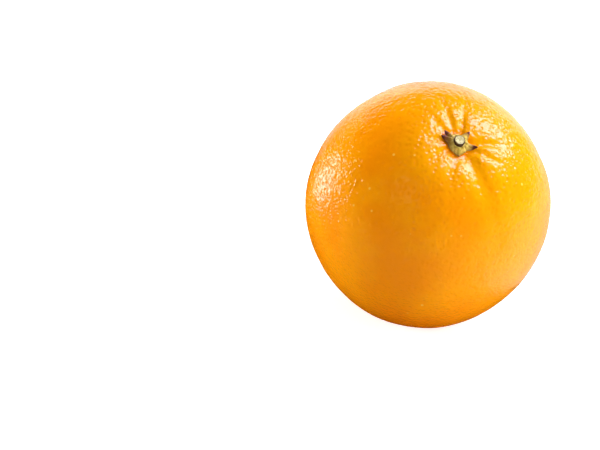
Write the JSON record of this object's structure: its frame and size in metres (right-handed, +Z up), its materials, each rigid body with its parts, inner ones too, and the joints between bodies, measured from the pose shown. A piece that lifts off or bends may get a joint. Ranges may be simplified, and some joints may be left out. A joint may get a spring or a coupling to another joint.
{
  "type": "orange",
  "caption": "Whole sweet orange lying on a small flat spot, with a star-shaped calyx and a cut stem end set in a furrowed hollow that faces up and to the front.",
  "frame": {"origin": "on the table, straight below the middle of the fruit, inside the small flat spot that it rests on", "axes": "+Z up from the table; -Y to the front, where the stem end faces; +X to the right; the fruit's own axis leans 34 degrees from +Z, towards -Y and a little towards +X"},
  "size_m": [0.0802, 0.0815, 0.0816],
  "materials": {
    "peel": "gloss",
    "calyx": "satin",
    "stem": "matte"
  },
  "bodies": {
    "root": {"fruit": "peel", "calyx": "calyx", "stem_end": "stem"}
  },
  "joints": []
}
